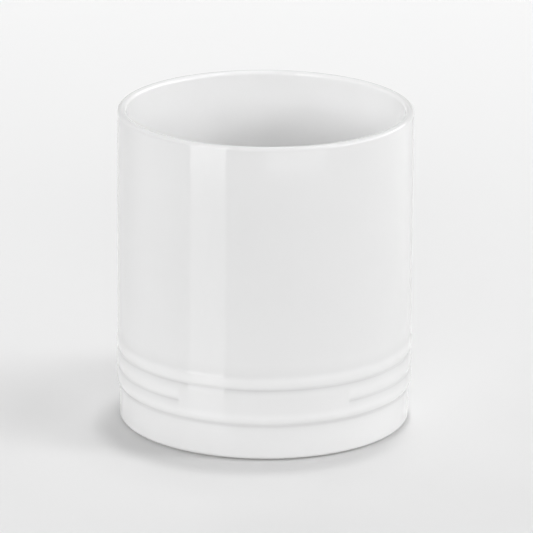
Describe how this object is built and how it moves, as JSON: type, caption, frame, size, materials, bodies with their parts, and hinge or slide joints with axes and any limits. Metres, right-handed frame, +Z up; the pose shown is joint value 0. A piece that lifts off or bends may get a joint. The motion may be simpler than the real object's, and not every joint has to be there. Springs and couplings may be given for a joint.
{
  "type": "utensil crock",
  "caption": "Straight-sided round stoneware crock, open at the top, with rolled beads round the lower wall and a rounded lip, for holding kitchen utensils.",
  "frame": {"origin": "centre of the plane that the foot ring stands on", "axes": "+Z up along the crock's axis, -Y towards the front, where the middle crease leaves a plain stretch, +X to the right seen from the front"},
  "size_m": [0.1518, 0.1518, 0.164],
  "materials": {
    "bare_stoneware": "bare fired clay, matte and finely grained",
    "white_glaze": "smooth opaque white glaze, glossy"
  },
  "bodies": {
    "root": {"stoneware_body": "bare_stoneware", "outer_glaze": "white_glaze", "liner_glaze": "white_glaze", "underside_glaze": "white_glaze"}
  },
  "joints": []
}
